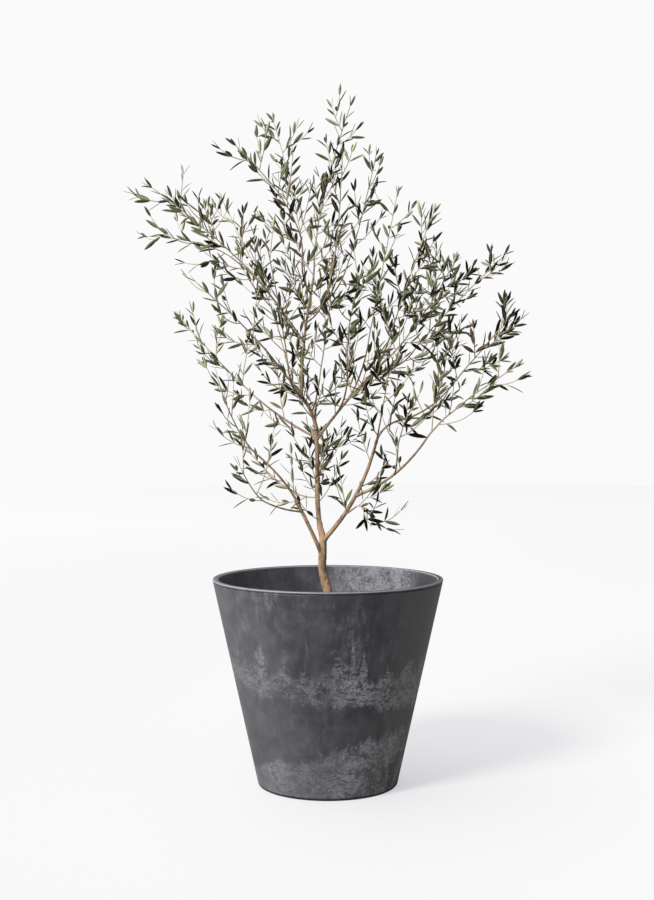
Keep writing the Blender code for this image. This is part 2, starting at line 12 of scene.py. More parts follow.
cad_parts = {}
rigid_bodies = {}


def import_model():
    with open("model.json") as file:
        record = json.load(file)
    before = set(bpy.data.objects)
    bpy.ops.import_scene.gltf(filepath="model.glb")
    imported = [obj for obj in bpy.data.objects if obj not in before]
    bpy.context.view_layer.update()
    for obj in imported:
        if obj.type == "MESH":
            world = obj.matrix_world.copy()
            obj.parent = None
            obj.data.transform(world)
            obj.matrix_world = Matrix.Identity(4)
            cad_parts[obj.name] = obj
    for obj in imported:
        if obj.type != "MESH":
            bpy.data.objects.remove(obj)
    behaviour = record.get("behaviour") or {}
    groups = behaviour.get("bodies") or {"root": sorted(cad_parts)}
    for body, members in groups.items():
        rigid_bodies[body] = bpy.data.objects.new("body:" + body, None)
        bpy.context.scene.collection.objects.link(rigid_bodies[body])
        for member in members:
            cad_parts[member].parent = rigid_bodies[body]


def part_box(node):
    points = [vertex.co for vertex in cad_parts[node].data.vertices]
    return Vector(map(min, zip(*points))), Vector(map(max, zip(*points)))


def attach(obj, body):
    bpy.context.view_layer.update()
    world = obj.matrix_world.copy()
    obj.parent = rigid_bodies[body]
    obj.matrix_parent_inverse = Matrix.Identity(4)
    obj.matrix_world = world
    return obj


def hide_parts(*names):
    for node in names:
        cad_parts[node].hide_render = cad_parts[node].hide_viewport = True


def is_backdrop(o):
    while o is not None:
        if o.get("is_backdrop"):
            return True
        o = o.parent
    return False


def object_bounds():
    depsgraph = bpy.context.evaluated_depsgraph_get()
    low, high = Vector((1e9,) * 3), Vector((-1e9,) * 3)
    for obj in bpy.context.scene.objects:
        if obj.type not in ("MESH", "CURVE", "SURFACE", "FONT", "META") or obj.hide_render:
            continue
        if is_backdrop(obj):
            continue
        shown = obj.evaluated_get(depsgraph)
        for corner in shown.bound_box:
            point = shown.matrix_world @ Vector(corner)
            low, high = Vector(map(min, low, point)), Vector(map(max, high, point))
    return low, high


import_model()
cad_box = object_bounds()
UP = Vector((0, 0, 1))

# The viewpoint: a short telephoto lens in front of the plant, a little over the middle of its height and
# tipped very slightly down, fitted to the outlines of the planter's rim and foot.
LENS_MM, SENSOR_MM = 56.97, 36
EYE = (-0.0014, -2.2839, 0.6062)
TIPPED_DOWN = math.radians(1.73)
camera = bpy.data.cameras.new("camera")
camera.lens = LENS_MM
camera.sensor_width = SENSOR_MM
viewpoint = bpy.data.objects.new("camera", camera)
viewpoint.location = EYE
viewpoint.rotation_euler = (math.radians(90) - TIPPED_DOWN, 0, 0)
bpy.context.scene.collection.objects.link(viewpoint)
bpy.context.scene.camera = viewpoint
bpy.context.scene.view_settings.view_transform = "Standard"


# The studio: a wide white paper floor before a white backdrop, in a room that is bright on the left and
# above and dim on the right, with one soft lamp high at the front left. The paper's glow, which only the
# camera sees, evens the floor out to the backdrop's white.
class Flow:
    """One socket of a material's nodes. Sums on it become Math nodes."""

    def __init__(self, surface, socket):
        self.surface, self.socket = surface, socket

    def maths(self, operation, *values):
        return self.surface.node("ShaderNodeMath", {"operation": operation}, dict(enumerate(values)))

    def __add__(self, other):
        return self.maths("ADD", self, other)

    def __sub__(self, other):
        return self.maths("SUBTRACT", self, other)

    def __rsub__(self, other):
        return self.maths("SUBTRACT", other, self)

    def __mul__(self, other):
        return self.maths("MULTIPLY", self, other)

    def __truediv__(self, other):
        return self.maths("DIVIDE", self, other)

    def __pow__(self, other):
        return self.maths("POWER", self, other)

    def __abs__(self):
        return self.maths("ABSOLUTE", self)

    __radd__ = __add__
    __rmul__ = __mul__

    def most(self, other):
        return self.maths("MAXIMUM", self, other)

    def held(self):
        """Kept between 0 and 1."""
        return self.surface.node("ShaderNodeClamp", {}, {0: self})


class Surface:
    """A material, or the studio's walls, with one shader whose inputs are numbers, colours or Flows."""

    def __init__(self, name, kind=bpy.data.materials, shader="Principled BSDF"):
        self.material = kind.new(name)
        self.material.use_nodes = True
        self.nodes = self.material.node_tree.nodes
        self.shader = self.nodes[shader]

    def feed(self, socket, value):
        if isinstance(value, Flow):
            self.material.node_tree.links.new(value.socket, socket)
        elif isinstance(value, tuple) and socket.type == "RGBA":
            socket.default_value = (*value, 1)
        else:
            socket.default_value = value

    def node(self, kind, settings, values, output=0):
        """Add a node: its settings first, then the values or links of its sockets."""
        new = self.nodes.new(kind)
        for name, setting in settings.items():
            setattr(new, name, setting)
        for socket, value in values.items():
            self.feed(new.inputs[socket], value)
        return Flow(self, new.outputs[output])

    def place(self, stretch=(1, 1, 1)):
        """Object coordinates, stretched."""
        where = self.node("ShaderNodeTexCoord", {}, {}, "Object")
        return self.node("ShaderNodeVectorMath", {"operation": "MULTIPLY"}, {0: where, 1: stretch})

    def clouds(self, where, scale, detail=3.0, roughness=0.5, distortion=0.0):
        return self.node("ShaderNodeTexNoise", {}, {"Vector": where, "Scale": scale, "Detail": detail,
                                                    "Roughness": roughness, "Distortion": distortion})

    def blend(self, share, first, second):
        return self.node("ShaderNodeMix", {"data_type": "RGBA"}, {0: share, 6: first, 7: second}, 2)

    def relief(self, height, depth, strength=1.0):
        """A bump of a depth in metres."""
        return self.node("ShaderNodeBump", {}, {"Height": height, "Distance": depth, "Strength": strength})

    def dress(self, **inputs):
        """Set the shader's inputs, named with _ for a space."""
        for name, value in inputs.items():
            self.feed(self.shader.inputs[name.replace("_", " ")], value)
        return self.material


def made(name, shape, *materials):
    """Turn a finished bmesh into an object at the origin."""
    mesh = bpy.data.meshes.new(name)
    shape.to_mesh(mesh)
    shape.free()
    for material in materials:
        mesh.materials.append(material)
    piece = bpy.data.objects.new(name, mesh)
    bpy.context.scene.collection.objects.link(piece)
    return piece


FLOOR_RADIUS = 9.0
PAPER = (0.224, 0.228, 0.204)
LEFT_GLOW, RIGHT_GLOW, FAR_GLOW = (0.420, 0.412, 0.472), (0.557, 0.550, 0.595), (0.652, 0.647, 0.673)
PAPER_NEAR, PAPER_FAR, PAPER_WIDE, PAPER_FADE = -0.6, 5.0, 1.2, 0.6
paper = Surface("floor_paper")
across, depth = (paper.node("ShaderNodeSeparateXYZ", {}, {0: paper.place()}, axis) for axis in "XY")
away = ((depth - PAPER_NEAR) / (PAPER_FAR - PAPER_NEAR)).held() ** PAPER_FADE
near_glow = paper.blend((across / PAPER_WIDE + 0.5).held(), LEFT_GLOW, RIGHT_GLOW)
seen = paper.node("ShaderNodeLightPath", {}, {}, "Is Camera Ray")
glow = paper.blend(seen, (0.0, 0.0, 0.0), paper.blend(away, near_glow, FAR_GLOW))
paper.dress(Base_Color=PAPER, Roughness=0.8, Emission_Color=glow, Emission_Strength=1.0)
shape = bmesh.new()
bmesh.ops.create_circle(shape, cap_ends=True, segments=96, radius=FLOOR_RADIUS)
floor = made("floor", shape, paper.material)
floor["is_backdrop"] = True

BACKDROP = (0.955, 0.955, 0.958)
BRIGHT_SIDE, DIM, BRIGHT = (-0.90, -0.02, 0.44), 0.37, 1.95
walls = Surface("studio", bpy.data.worlds, "Background")
seen = walls.node("ShaderNodeLightPath", {}, {}, "Is Camera Ray")
facing = walls.node("ShaderNodeVectorMath", {"operation": "DOT_PRODUCT"},
                    {0: walls.node("ShaderNodeTexCoord", {}, {}, "Generated"), 1: BRIGHT_SIDE}, "Value")
softness = DIM + (BRIGHT - DIM) * facing.held()
walls.dress(Color=walls.blend(seen, (1.0, 1.0, 1.0), BACKDROP), Strength=seen + (1 - seen) * softness)
bpy.context.scene.world = walls.material
KEY_PLACE, LIT_POINT = Vector((-3.0, -3.5, 3.65)), Vector((0, 0, 0.45))
KEY_SIZE, KEY_WATTS, KEY_COLOUR = 1.6, 450, (1.0, 0.985, 0.96)
light = bpy.data.lights.new("key", "AREA")
light.shape = "DISK"
light.size = KEY_SIZE
light.energy = KEY_WATTS
light.color = KEY_COLOUR
key = bpy.data.objects.new("key", light)
key.location = KEY_PLACE
key.rotation_euler = (LIT_POINT - KEY_PLACE).to_track_quat("-Z", "Y").to_euler()
bpy.context.scene.collection.objects.link(key)


# The planter: a light composite of resin and stone dust, cast in one piece with a straight taper, a
# rounded lip with a fine groove under it, and a crisp foot. Paler stone dust has risen in the mould like
# flames, in two wavy belts, and lies as a cloud inside the rim, mixed there with a painted pool of light.
# Painted light also makes the haze paler on the left and at the right edge and the coat paler towards the
# sides, with a painted highlight along the lip and painted shade in the groove, inside on the right and
# round the foot.
POT_SEGMENTS = 144
FOOT_RADIUS, WALL, POT_FLOOR = 0.112, 0.0095, 0.012
LIP_ROUND, FOOT_ROUND, ROUND_STEPS = 0.0026, 0.0030, 4
GROOVE, GROOVE_DEPTH, GROOVE_SHADE_WIDTH = (0.0036, 0.0046, 0.0056), 0.0009, 0.0013
BELT_HEIGHT, BELT_FALL, BELT_SOFT, BELT_FADE = 0.150, 0.12, 0.030, 0.044
BELT_RISE, TONGUE_RISE, RIGHT_RISE = 0.026, 0.26, 0.10
FOOT_BELT, FOOT_BELT_RISE, FOOT_BELT_EDGE, FOOT_BELT_FADE = 0.078, 0.30, 0.010, 0.022
INNER_POOL_PLACE, INNER_POOL_SPREAD = (0.085, 0.140), 0.0085
SHADE_FROM, SHADE_WIDTH = 0.095, 1 / 22
LIP_HIGHLIGHT_BAND, FOOT_SHADE_BELOW, FOOT_SHADE_FADE = (0.0022, 0.0006), 0.0055, 0.0025
SLATE, HAZE_AND_SIDE_LIGHT_SLATE, STONE_DUST_AND_LIGHT = (0.0268, 0.0270, 0.0342), (0.0770, 0.0769, 0.0922), (0.225, 0.223, 0.250)
GROOVE_SHADE_COLOUR, INNER_SHADE, LIP_HIGHLIGHT_COLOUR = (0.012, 0.012, 0.014), (0.016, 0.016, 0.020), (0.220, 0.220, 0.240)
FOOT_SHADE_COLOUR = (0.006, 0.006, 0.007)
rim_radius, pot_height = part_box("pot")[1].x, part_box("pot")[1].z
shape = bmesh.new()
bmesh.ops.create_cone(shape, cap_ends=True, segments=POT_SEGMENTS, radius1=FOOT_RADIUS, radius2=rim_radius,
                      depth=pot_height, matrix=Matrix.Translation((0, 0, pot_height / 2)))
mouth = max(shape.faces, key=lambda face: face.calc_center_median().z)
bmesh.ops.inset_region(shape, faces=[mouth], thickness=WALL)
well = bmesh.ops.extrude_discrete_faces(shape, faces=[mouth])["faces"][0]
well_radius = FOOT_RADIUS + (rim_radius - FOOT_RADIUS) * POT_FLOOR / pot_height - WALL
narrowing = well_radius / (rim_radius - WALL)
bmesh.ops.scale(shape, vec=(narrowing, narrowing, 1), verts=well.verts)
bmesh.ops.translate(shape, vec=(0, 0, POT_FLOOR - pot_height), verts=well.verts)
for height, width in ((pot_height, LIP_ROUND), (0, FOOT_ROUND)):
    corners = [edge for edge in shape.edges if all(abs(end.co.z - height) < 1e-5 for end in edge.verts)]
    bmesh.ops.bevel(shape, geom=corners, offset=width, affect="EDGES", segments=ROUND_STEPS, profile=0.5,
                    material=-1)
for height in GROOVE:
    everything = shape.verts[:] + shape.edges[:] + shape.faces[:]
    bmesh.ops.bisect_plane(shape, geom=everything, plane_co=(0, 0, pot_height - height), plane_no=UP)
groove = [corner for corner in shape.verts if abs(corner.co.z - pot_height + GROOVE[1]) < 1e-5
          and corner.co.xy.length > rim_radius - WALL / 2]
inwards = 1 - GROOVE_DEPTH / rim_radius
bmesh.ops.scale(shape, vec=(inwards, inwards, 1), verts=groove)
bmesh.ops.recalc_face_normals(shape, faces=shape.faces)
slate = Surface("slate_composite")
where = slate.place()
across, depth, height = (slate.node("ShaderNodeSeparateXYZ", {}, {0: where}, axis) for axis in "XYZ")
away = (across * across + depth * depth) ** 0.5
inside = ((FOOT_RADIUS - WALL / 2 + height * (rim_radius - FOOT_RADIUS) / pot_height - away) * 4000).held()
drift = slate.clouds(where, 8.0, 2.0) - 0.5
cloud = slate.clouds(where, 34.0, 6.0, 0.62, 0.6) - 0.5
comb = slate.clouds(slate.place((1, 1, 0.13)), 150.0, 4.0, 0.66) - 0.5
lick = slate.clouds(slate.place((1, 1, 0.20)), 34.0, 4.0, 0.6, 0.5) - 0.5
belt = height - (BELT_HEIGHT - BELT_FALL * across + 0.03 * drift)
tongues = slate.clouds(slate.place((1, 1, 0.12)), 22.0, 4.0, 0.6, 0.8) - 0.50
rise = BELT_RISE + TONGUE_RISE * tongues.held() + RIGHT_RISE * across.most(0.0)
belt = (belt / BELT_SOFT + 0.5).held() * (1 - (belt - rise) / BELT_FADE).held()
foot = height - (FOOT_BELT + FOOT_BELT_RISE * across + 0.06 * drift)
foot = (1 - (foot + FOOT_BELT_EDGE) / FOOT_BELT_FADE).held() * (1 - 3.5 * across)
# Partly painted light: the pale mottled cloud on the inner wall at the back right is stone dust together with a
# painted pool of the light that falls in through the mouth.
inner_dust_and_light_pool = (across - INNER_POOL_PLACE[0]) ** 2 + (depth - INNER_POOL_PLACE[1]) ** 2
inner_dust_and_light_pool = (1 - inner_dust_and_light_pool / INNER_POOL_SPREAD).held() * inside
pale = belt.most(foot) * (1 - inside)
edge = ((pale + 0.8 * comb + 1.5 * lick + 0.9 * cloud - 0.45) * 2.6).held()
bend = slate.node("ShaderNodeTexNoise", {}, {"Vector": where, "Scale": 30.0, "Detail": 2.0}, "Color")
bend = slate.node("ShaderNodeVectorMath", {"operation": "MULTIPLY_ADD"},
                  {0: bend, 1: (0.03, 0.03, 0.03), 2: where})
flat, flatter = (slate.node("ShaderNodeVectorMath", {"operation": "MULTIPLY"}, {0: bend, 1: (1, 1, press)})
                 for press in (1.7, 2.6))
curls = (1 - 18.0 * abs(slate.clouds(flat, 78.0, 3.0, 0.6, 1.0) - 0.5)).held()
dashes = ((0.46 - slate.clouds(flatter, 92.0, 2.0, 0.5, 0.5)) * 11.0).held()
mottle = slate.clouds(where, 260.0, 4.0, 0.7)
flakes = (0.26 + 0.75 * curls - 0.85 * dashes + 0.9 * (mottle - 0.5) + 1.3 * cloud).held()
wisps = ((lick + 0.8 * comb - 0.05) * 5.0).held() * (1 - inside) * ((height - 0.06) / 0.20).held()
coat_and_side_light = edge * (0.03 + (0.44 + 0.9 * (drift + 0.2)) * flakes + 0.12 * foot)
# Painted light: the pale coat is made stronger towards both sides and most on the right, standing in for fill light
# there.
coat_and_side_light = coat_and_side_light * (0.58 + 1.5 * abs(across) + 20.0 * across.most(0.0))
# The pale marks are stone dust, with the painted light of the coat and of the pool inside the rim mixed in.
dust_and_painted_light = coat_and_side_light + wisps * (0.07 + 0.30 * flakes) + 0.22 * (cloud + 0.05) + 0.10 * (mottle - 0.5)
dust_and_painted_light = (dust_and_painted_light + inner_dust_and_light_pool * (0.34 + 1.6 * cloud + 2.2 * (mottle - 0.5)).held() * 2.1).held()
# Painted light: the haze is stronger on the left, weakest just right of the middle and stronger again towards the
# right edge. This stands in for light from the left and a fill on the right. Its clouds are the stone's own haze.
haze_and_side_light = slate.clouds(slate.place((1, 1, 0.45)), 6.0, 6.0, 0.62) * 1.8 - 0.82 - 5.0 * across
haze_and_side_light = haze_and_side_light + 190.0 * ((across - 0.03).most(0.0) ** 2)
haze_and_side_light = haze_and_side_light - 1.4 * (height - 0.27) + 1.1 * cloud + 0.6 * comb
ground = slate.blend(haze_and_side_light.held(), SLATE, HAZE_AND_SIDE_LIGHT_SLATE)
# Painted shade: a dark line along the groove under the lip.
painted_groove_shade = (1.4 - abs(height - (pot_height - GROOVE[1])) / GROOVE_SHADE_WIDTH).held() * (1 - inside)
ground = slate.blend(painted_groove_shade * 0.8, ground, GROOVE_SHADE_COLOUR)
shade = inside * ((across - SHADE_FROM) / SHADE_WIDTH).held()
ground = slate.blend(shade, ground, INNER_SHADE)
# Painted highlight: a pale band along the top of the rounded lip.
lip_highlight = ((height - (pot_height - LIP_HIGHLIGHT_BAND[0])) / 0.0010).held()
lip_highlight = lip_highlight * (1 - (height - (pot_height - LIP_HIGHLIGHT_BAND[1])) / 0.0005).held()
ground = slate.blend(lip_highlight * (0.5 + 0.8 * mottle), ground, LIP_HIGHLIGHT_COLOUR)
# Painted shade: the lowest few millimetres of the foot are darkened where it stands on the floor.
foot_shade = ((FOOT_SHADE_BELOW - height) / FOOT_SHADE_FADE).held()
slate.dress(
    Base_Color=slate.blend(foot_shade, slate.blend(dust_and_painted_light, ground, STONE_DUST_AND_LIGHT), FOOT_SHADE_COLOUR),
    Roughness=0.46 + 0.25 * dust_and_painted_light + 0.12 * (mottle - 0.5),
    Normal=slate.relief(dust_and_painted_light * 0.8 + mottle * 0.4, 0.0005, 0.45),
)
slate.shader.inputs["Specular IOR Level"].default_value = 0.40
planter = made("planter", shape, slate.material)
planter.data.shade_smooth()
planter.data.set_sharp_from_angle(angle=math.radians(40))
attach(planter, "root")
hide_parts("pot")


# The soil: dark potting earth in crumbs of every size with a few grains of white pumice, pressed down
# round the trunk and shrunk a little way from the planter's wall.
SOIL_RINGS, SOIL_SPOKES = 44, 132
WALL_GAP = 0.0012
SOIL_FALL, SOIL_LUMPS, SOIL_GRIT = 0.006, 0.0040, 0.0018
CRUMBS, PUMICE = 2600, 90
CRUMB_SIZES, PUMICE_SIZES = (0.0009, 0.0034), (0.0010, 0.0022)
LUMP_GRAIN, GRIT_GRAIN = 38, 420
CRUMB_REACH = 0.975
soil_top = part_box("soil")[1].z


def inside_radius(height):
    """The radius of the planter's inner wall at a height."""
    share = (height - POT_FLOOR) / (pot_height - POT_FLOOR)
    return well_radius + (rim_radius - WALL - well_radius) * share


def soil_level(x, y):
    """The height of the soil's surface."""
    spot = Vector((x, y, 0))
    rough = SOIL_LUMPS * noise.fractal(spot * LUMP_GRAIN, 0.9, 2.1, 4)
    rough += SOIL_GRIT * noise.noise(spot * GRIT_GRAIN)
    return soil_top - SOIL_FALL * (spot.length / rim_radius) ** 2 - abs(rough) * 0.8


def scattered(name, small, places, *materials, slots=None):
    """One object that repeats a small shape at every place, each copy with its own list of face slots."""
    corners = np.array([(*corner.co, 1) for corner in small.verts])
    faces = [[corner.index for corner in face.verts] for face in small.faces]
    shifted = np.einsum("nij,kj->nki", np.array(places), corners)[:, :, :3].reshape(-1, 3)
    mesh = bpy.data.meshes.new(name)
    step = len(corners)
    copies = [[step * number + k for k in face] for number in range(len(places)) for face in faces]
    mesh.from_pydata(shifted, [], copies)
    if slots is not None:
        mesh.polygons.foreach_set("material_index", np.concatenate(slots))
    for material in materials:
        mesh.materials.append(material)
    mesh.shade_smooth()
    piece = bpy.data.objects.new(name, mesh)
    bpy.context.scene.collection.objects.link(piece)
    return piece


soil_radius = inside_radius(soil_top) - WALL_GAP
shape = bmesh.new()
spoke = [shape.verts.new((soil_radius * k / SOIL_RINGS, 0, 0)) for k in range(SOIL_RINGS + 1)]
spoke += [shape.edges.new(pair) for pair in zip(spoke, spoke[1:])]
bmesh.ops.spin(shape, geom=spoke, axis=UP, cent=(0, 0, 0), angle=math.tau, steps=SOIL_SPOKES, use_merge=True)
bmesh.ops.remove_doubles(shape, verts=shape.verts, dist=0.0001)
for corner in shape.verts:
    corner.co.z = soil_level(corner.co.x, corner.co.y)
skirt = bmesh.ops.extrude_edge_only(shape, edges=[edge for edge in shape.edges if edge.is_boundary])["geom"]
skirt = [item for item in skirt if isinstance(item, bmesh.types.BMVert)]
narrowing = (well_radius - WALL_GAP) / soil_radius
bmesh.ops.scale(shape, vec=(narrowing, narrowing, 0), verts=skirt)
bmesh.ops.translate(shape, vec=(0, 0, POT_FLOOR + WALL_GAP), verts=skirt)
bmesh.ops.holes_fill(shape, edges=shape.edges)
bmesh.ops.recalc_face_normals(shape, faces=shape.faces)
earth = Surface("potting_soil")
clods = earth.clouds(earth.place(), 240.0, 6.0, 0.7)
damp = earth.clouds(earth.place(), 22.0, 3.0)
earth.dress(
    Base_Color=earth.blend((clods * 2.2 - 0.65).held(), (0.008, 0.005, 0.003), (0.052, 0.035, 0.022)),
    Roughness=0.98 - 0.25 * damp,
    Normal=earth.relief(clods, 0.0030),
)
stone = Surface("pumice")
pits = stone.clouds(stone.place(), 900.0, 4.0)
stone.dress(Base_Color=stone.blend(pits, (0.34, 0.32, 0.28), (0.62, 0.60, 0.55)), Roughness=0.9,
            Normal=stone.relief(pits, 0.0003))
soil = made("potting_soil", shape, earth.material)
soil.data.shade_smooth()
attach(soil, "root")
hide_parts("soil")
for name, count, sizes, material in (("soil_crumbs", CRUMBS, CRUMB_SIZES, earth.material),
                                     ("soil_pumice", PUMICE, PUMICE_SIZES, stone.material)):
    dice = random.Random(name)
    crumb = bmesh.new()
    bmesh.ops.create_icosphere(crumb, subdivisions=1, radius=1)
    for corner in crumb.verts:
        corner.co *= dice.uniform(0.7, 1.1)
    places = []
    for number in range(count):
        turn, away = dice.uniform(0, math.tau), soil_radius * CRUMB_REACH * math.sqrt(dice.random())
        x, y = away * math.cos(turn), away * math.sin(turn)
        size = dice.uniform(*sizes) * dice.random() + sizes[0]
        lie = Matrix.Rotation(dice.uniform(0, math.tau), 4, UP) @ Matrix.Rotation(dice.uniform(0, 1), 4, "X")
        stretch = Matrix.Diagonal((size, size * dice.uniform(0.6, 0.9), size * dice.uniform(0.5, 0.8), 1))
        places.append(Matrix.Translation((x, y, soil_level(x, y) + size * 0.25)) @ lie @ stretch)
    crumbs = scattered(name, crumb, places, material)
    crumb.free()
    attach(crumbs, "root")


# The trunk and boughs: one slim stem that forks low, with smooth young tan bark, fine lengthwise
# cracks, small scars where twigs were, a flared root and a swelling where each bough leaves. The trunk
# and the two lowest boughs are up to a millimetre thicker here than their solids, before the relief.
TRUNK_STATIONS = [
    (0.270, 0.006, 0.000, 0.0108),
    (0.292, 0.004, 0.000, 0.0074),
    (0.320, -0.003, 0.001, 0.0071),
    (0.352, -0.009, 0.000, 0.0066),
    (0.392, -0.008, -0.002, 0.0059),
    (0.422, -0.014, -0.001, 0.0042),
    (0.470, -0.017, 0.003, 0.0038),
    (0.520, -0.017, 0.002, 0.0035),
    (0.569, -0.019, 0.000, 0.0031),
]
Bough = namedtuple("Bough", "name parent along tip bow thick thin shoots")
BOUGHS = [Bough(*row) for row in (
    ("left_low", "trunk", 0.33, (-0.048, -0.020, 0.453), (0.001, 0, -0.001), 0.0035, 0.0027, 0),
    ("left_outer", "left_low", 1, (-0.112, -0.060, 0.533), None, 0.0020, 0.0014, 2),
    ("left_foot", "left_low", 0.84, (-0.097, -0.060, 0.457), (0, 0, -0.003), 0.0015, 0.0012, 0),
    ("right", "trunk", 0.41, (0.076, -0.030, 0.549), (0.009, 0, -0.008), 0.0039, 0.0024, 3),
    ("right_low", "right", 0.5, (0.150, -0.100, 0.556), (0.006, 0, -0.010), 0.0025, 0.0016, 1),
    ("right_middle", "right", 1, (0.147, 0.035, 0.588), None, 0.0020, 0.0014, 4),
    ("right_inner", "right", 0.9, (0.082, -0.080, 0.590), (0, -0.004, -0.004), 0.0015, 0.0012, 1),
    ("right_spur", "right_low", 0.5, (0.106, -0.120, 0.540), (0, -0.006, -0.006), 0.0015, 0.0012, 1),
    ("low_right", "right", 0.3, (0.044, -0.080, 0.452), (-0.004, -0.008, -0.003), 0.0015, 0.0012, 1),
    ("centre", "trunk", 1, (-0.046, 0.000, 0.629), None, 0.0030, 0.0026, 7),
    ("left_middle", "centre", 1, (-0.098, -0.040, 0.696), None, 0.0021, 0.0014, 1),
    ("leader", "centre", 0.92, (-0.025, 0.010, 0.802), (-0.004, 0.004, 0), 0.0024, 0.0017, 7),
    ("upper_left", "leader", 0.48, (-0.112, -0.020, 0.809), (-0.003, 0, 0.007), 0.0017, 0.0012, 5),
    ("far_left", "upper_left", 0.8, (-0.155, 0.026, 0.847), (0.004, 0.008, 0), 0.0013, 0.0011, 2),
    ("top", "leader", 1, (-0.022, 0.020, 0.840), None, 0.0016, 0.0013, 2),
    ("top_left", "leader", 0.92, (-0.040, -0.045, 0.843), (-0.005, -0.004, -0.003), 0.0014, 0.0011, 2),
    ("top_back", "leader", 0.82, (-0.040, 0.080, 0.846), (0, 0.009, -0.008), 0.0014, 0.0011, 1),
    ("top_front", "leader", 0.66, (0.002, -0.070, 0.795), (0.004, -0.009, -0.008), 0.0014, 0.0011, 3),
    ("top_right", "leader", 0.74, (0.028, 0.050, 0.827), (0.007, 0.003, -0.006), 0.0014, 0.0011, 2),
    ("right_long", "trunk", 0.95, (0.098, 0.030, 0.686), (-0.002, 0.003, 0.004), 0.0025, 0.0017, 6),
    ("right_front", "right_long", 0.5, (0.092, -0.075, 0.704), (0.006, -0.008, -0.006), 0.0016, 0.0012, 5),
    ("right_back", "right_long", 0.8, (0.142, 0.100, 0.698), (0.006, 0.005, -0.006), 0.0015, 0.0012, 5),
    ("right_outer", "right_middle", 0.7, (0.198, -0.010, 0.641), (0.004, 0.003, -0.006), 0.0015, 0.0012, 1),
    ("front_middle", "right_long", 0.26, (0.030, -0.080, 0.676), (0.007, -0.010, -0.008), 0.0016, 0.0012, 5),
    ("left_long", "trunk", 0.96, (-0.108, 0.045, 0.614), (0, 0.006, -0.004), 0.0021, 0.0014, 3),
    ("back_middle", "centre", 0.45, (-0.014, 0.080, 0.651), (0, 0.010, -0.009), 0.0016, 0.0012, 3),
    ("back_left", "leader", 0.18, (-0.071, 0.080, 0.692), (-0.004, 0.009, -0.007), 0.0015, 0.0012, 2),
    ("front_left", "centre", 0.84, (-0.062, -0.080, 0.671), (-0.004, -0.010, -0.007), 0.0016, 0.0012, 2),
    ("back_right", "right_long", 0.42, (0.067, 0.100, 0.710), (0.004, 0.010, -0.007), 0.0015, 0.0012, 2),
)]
BOUGH_SWEEP = 0.4
TRUNK_STEP, BOUGH_STEP = 0.0016, 0.0030
TRUNK_ROUND, BOUGH_ROUND = 10, 4
COLLAR_SWELL, COLLAR_LENGTH = 0.45, 0.005
OVERLAP = 0.0012
CRACKS, SCARS, ROOT_RIBS, KNUCKLE = 0.00042, 0.0014, 0.0016, 0.0022
CRACK_GRAIN, TRUNK_CRACK_LONG, BOUGH_CRACK_LONG = 420, 34, 60
TRUNK_LUMP_GRAIN, BOUGH_LUMP_GRAIN = 55, 110
ROOT_REACH, KNUCKLE_RADIUS = 0.012, 0.0045
SCAR_COUNT, SCAR_RADIUS, SCAR_OFF_AXIS = 16, 0.0030, 0.0045
BARK_DARK, BARK_LIGHT, YOUNG_DARK = (0.100, 0.053, 0.028), (0.475, 0.310, 0.180), (0.125, 0.084, 0.058)
YOUNG_LIGHT, FIBRE_TAN, FLECK_BROWN = (0.335, 0.240, 0.172), (0.160, 0.104, 0.064), (0.075, 0.048, 0.030)
KNOT_BROWN = (0.060, 0.034, 0.018)
YOUNG_FROM, YOUNG_OVER = 0.38, 0.18


def smooth_way(stations, share):
    """A point on the smooth curve through evenly shared stations."""
    spans = len(stations) - 1
    place = min(max(share, 0), 1) * spans
    k = min(int(place), spans - 1)
    t = place - k
    before, here, there, after = (stations[min(max(k + step, 0), spans)] for step in (-1, 0, 1, 2))
    return [0.5 * (2 * b + (c - a) * t + (2 * a - 5 * b + 4 * c - d) * t ** 2
                   + (3 * b - a - 3 * c + d) * t ** 3) for a, b, c, d in zip(before, here, there, after)]


def along(path, share):
    """The point and the direction at a share of a path's length."""
    points = path[0]
    lengths = [(b - a).length for a, b in zip(points, points[1:])]
    left = share * sum(lengths)
    for a, b, length in zip(points, points[1:], lengths):
        if left <= length:
            return a.lerp(b, left / length), (b - a).normalized()
        left -= length
    return points[-1].copy(), (points[-1] - points[-2]).normalized()


def curve_path(start, middle, tip, thick, thin, steps):
    """Points and radii on the curve that leaves start towards middle and ends at tip."""
    shares = [k / steps for k in range(steps + 1)]
    points = [(1 - t) ** 2 * start + 2 * t * (1 - t) * middle + t ** 2 * tip for t in shares]
    return points, [thick + (thin - thick) * t for t in shares]


def bough_path(bough, paths):
    """A bough's way from its parent to its tip."""
    tip = Vector(bough.tip)
    start, heading = along(paths[bough.parent], bough.along)
    if bough.bow is None:
        middle = start + heading * BOUGH_SWEEP * (tip - start).length
    else:
        middle = (start + tip) / 2 + 2 * Vector(bough.bow)
    steps = round((tip - start).length / BOUGH_STEP)
    return curve_path(start, middle, tip, bough.thick, bough.thin, steps)


def swollen(path):
    """The same path with the collar that a bough has where it leaves its parent."""
    points, radii = path
    away = [(point - points[0]).length - radii[0] for point in points]
    return points, [radius * (1 + COLLAR_SWELL * math.exp(-max(gone, 0) / COLLAR_LENGTH))
                    for radius, gone in zip(radii, away)]


